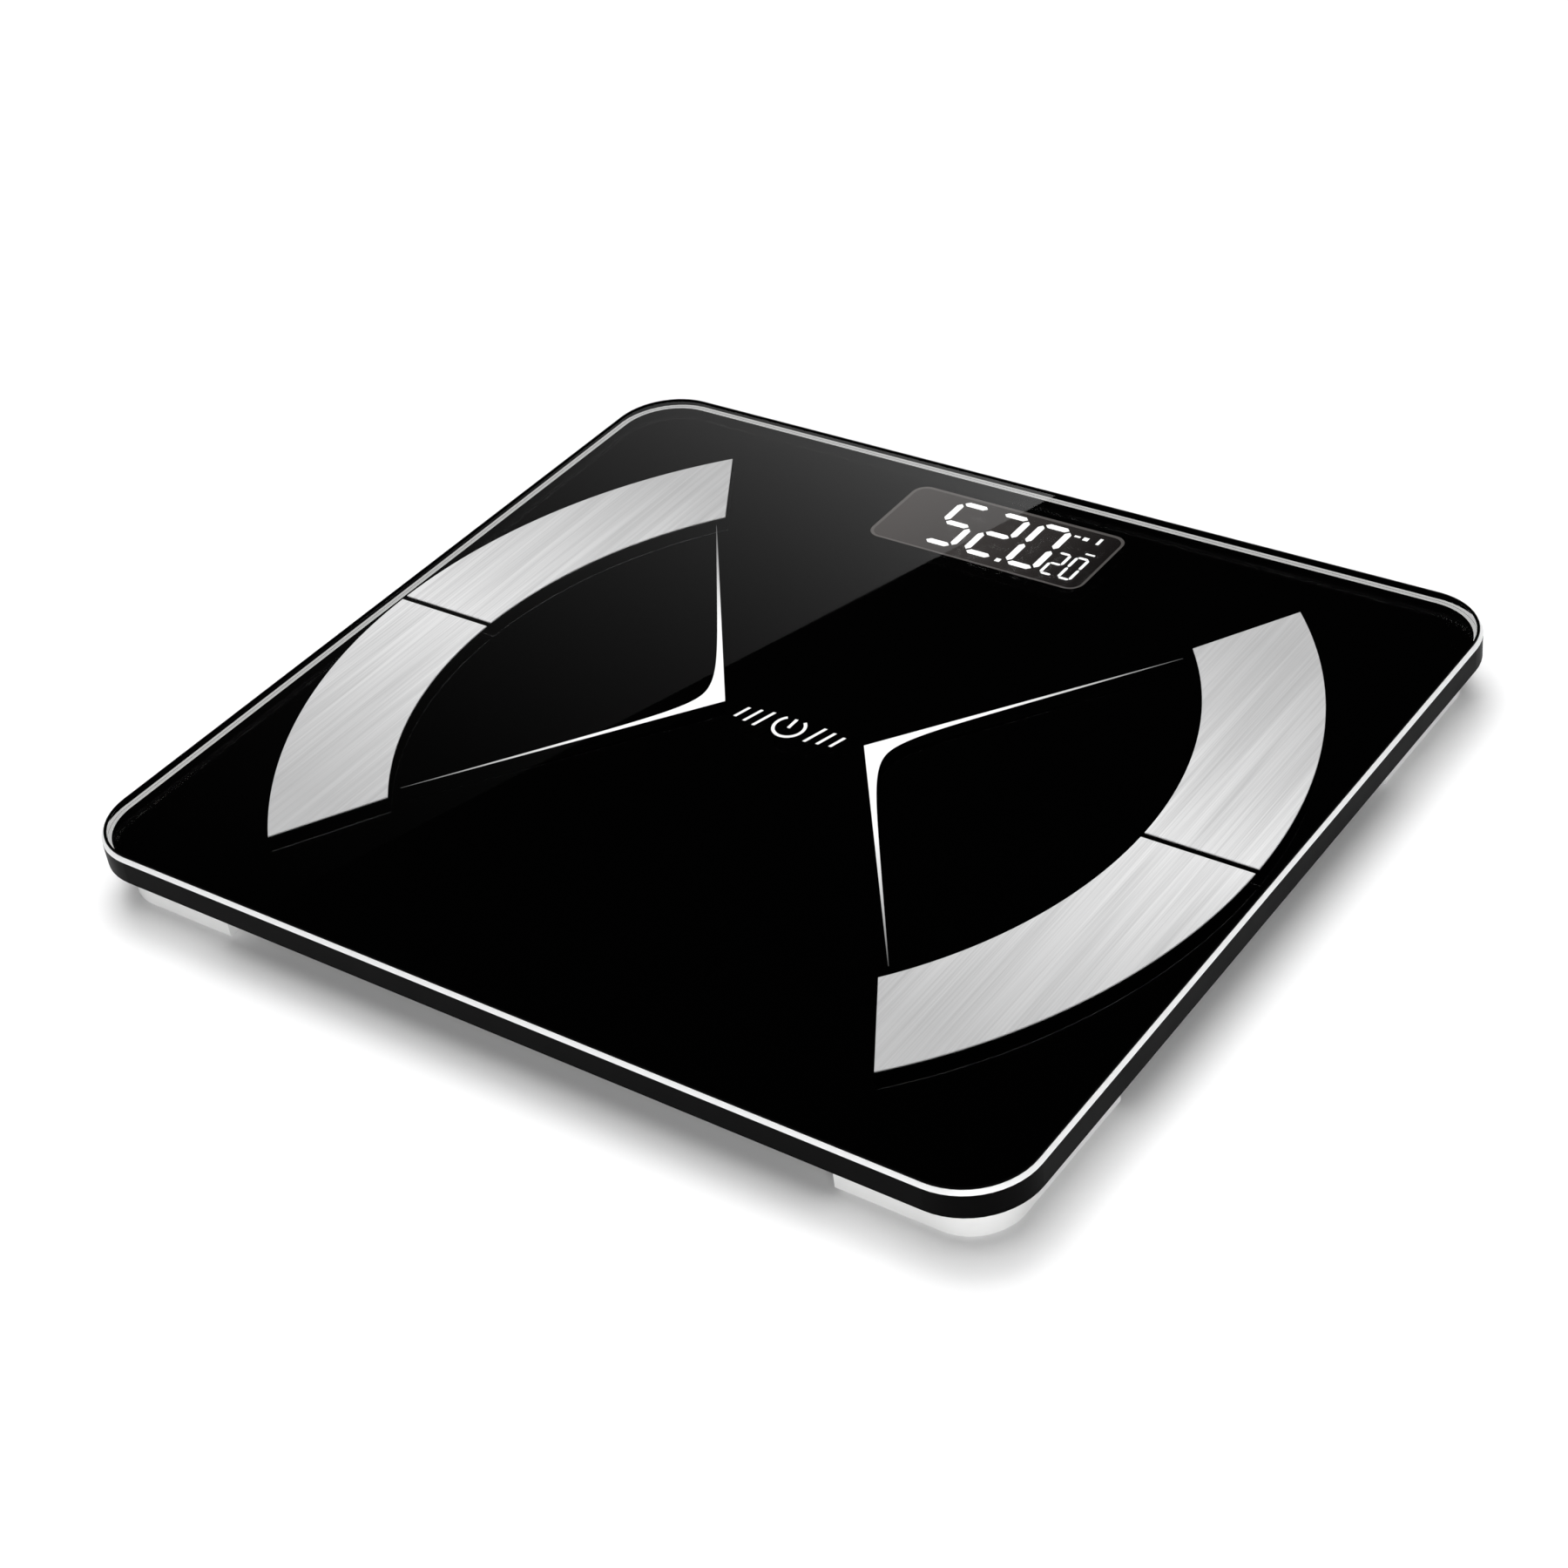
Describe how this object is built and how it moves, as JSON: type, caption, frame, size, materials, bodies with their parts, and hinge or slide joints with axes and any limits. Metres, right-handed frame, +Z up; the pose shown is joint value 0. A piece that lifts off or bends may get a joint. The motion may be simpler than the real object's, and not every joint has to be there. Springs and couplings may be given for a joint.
{
  "type": "digital bathroom scale",
  "caption": "Flat glass-topped bathroom scale with steel foot electrodes, display window, corner foot blocks on load cells, and a battery door and unit button in the cover below.",
  "frame": {"origin": "centre of the outer box, on the floor under the rubber pads", "axes": "+X to the right of a person reading the display, +Y from the person towards the display, +Z up"},
  "size_m": [0.29, 0.26, 0.0214],
  "materials": {
    "tempered_glass": "clear polished float glass",
    "black_print": "black screen print",
    "white_foam": "closed-cell foam tape",
    "silver_trim": "bright satin",
    "black_abs": "gloss moulded",
    "white_abs": "fine moulded texture",
    "grey_plastic": "moulded",
    "grey_rubber": "matt",
    "brushed_electrode": "brushed along the depth",
    "plated_steel": "nickel plated",
    "screw_steel": "zinc plated",
    "cell_steel": "stamped",
    "gauge_film": "foil on film",
    "battery_sleeve": "shrink sleeve",
    "circuit_board": "solder mask",
    "chip_black": "moulded",
    "display_glass": "negative liquid crystal panel",
    "backlight_white": "diffuser",
    "strip_rubber": "conductive strip",
    "lead_red": "insulation",
    "lead_black": "insulation"
  },
  "bodies": {
    "platform": {"backlight": "backlight_white", "base_tray": "black_abs", "battery_1": "battery_sleeve", "battery_2": "battery_sleeve", "battery_3": "battery_sleeve", "battery_contacts": "plated_steel", "battery_springs": "plated_steel", "board_screws": "screw_steel", "border_gasket": "white_foam", "cell_lead_back_left": "lead_red", "cell_lead_back_right": "lead_red", "cell_lead_front_left": "lead_red", "cell_lead_front_right": "lead_red", "contact_lead_back_left": "lead_black", "contact_lead_back_right": "lead_black", "contact_lead_front_left": "lead_black", "contact_lead_front_right": "lead_black", "controller_chip": "chip_black", "cover_screws": "screw_steel", "electrode_back_left": "brushed_electrode", "electrode_back_right": "brushed_electrode", "electrode_contacts": "plated_steel", "electrode_front_left": "brushed_electrode", "electrode_front_right": "brushed_electrode", "electronics_cover": "white_abs", "foot_block_back_left": "white_abs", "foot_block_back_right": "white_abs", "foot_block_front_left": "white_abs", "foot_block_front_right": "white_abs", "foot_block_screws": "screw_steel", "glass_bond_pads": "white_foam", "glass_platform": "tempered_glass", "lcd_contact_strips": "strip_rubber", "lcd_frame": "chip_black", "lcd_panel": "display_glass", "lead_headers": "chip_black", "load_cell_back_left": "cell_steel", "load_cell_back_right": "cell_steel", "load_cell_front_left": "cell_steel", "load_cell_front_right": "cell_steel", "main_board": "circuit_board", "power_leads": "lead_black", "printed_film": "black_print", "strain_gauges": "gauge_film", "trim_ring": "silver_trim", "unit_switch": "chip_black", "wireless_module": "plated_steel"},
    "foot_front_left_body": {"foot_front_left": "grey_plastic", "foot_pad_front_left": "grey_rubber"},
    "foot_front_right_body": {"foot_front_right": "grey_plastic", "foot_pad_front_right": "grey_rubber"},
    "foot_back_left_body": {"foot_back_left": "grey_plastic", "foot_pad_back_left": "grey_rubber"},
    "foot_back_right_body": {"foot_back_right": "grey_plastic", "foot_pad_back_right": "grey_rubber"},
    "door": {"battery_door": "white_abs"},
    "button": {"unit_button": "grey_plastic", "switch_plunger": "chip_black"}
  },
  "joints": [
    {"name": "foot_front_left_press", "type": "slide", "parent": "platform", "child": "foot_front_left_body", "axis": [0, 0, 1], "range_m": [0, 0.0008], "stiffness_N_per_m": 4000, "springref_m": -0.0015, "deforming": ["load_cell_front_left"]},
    {"name": "foot_front_right_press", "type": "slide", "parent": "platform", "child": "foot_front_right_body", "axis": [0, 0, 1], "range_m": [0, 0.0008], "stiffness_N_per_m": 4000, "springref_m": -0.0015, "deforming": ["load_cell_front_right"]},
    {"name": "foot_back_left_press", "type": "slide", "parent": "platform", "child": "foot_back_left_body", "axis": [0, 0, 1], "range_m": [0, 0.0008], "stiffness_N_per_m": 4000, "springref_m": -0.0015, "deforming": ["load_cell_back_left"]},
    {"name": "foot_back_right_press", "type": "slide", "parent": "platform", "child": "foot_back_right_body", "axis": [0, 0, 1], "range_m": [0, 0.0008], "stiffness_N_per_m": 4000, "springref_m": -0.0015, "deforming": ["load_cell_back_right"]},
    {"name": "battery_door_hinge", "type": "hinge", "parent": "platform", "child": "door", "pos_m": [0, 0.0256, 0.003], "axis": [1, 0, 0], "range_deg": [-95, 0]},
    {"name": "unit_button_press", "type": "slide", "parent": "platform", "child": "button", "axis": [0, 0, 1], "range_m": [0, 0.0005], "stiffness_N_per_m": 150, "springref_m": -0.001}
  ]
}
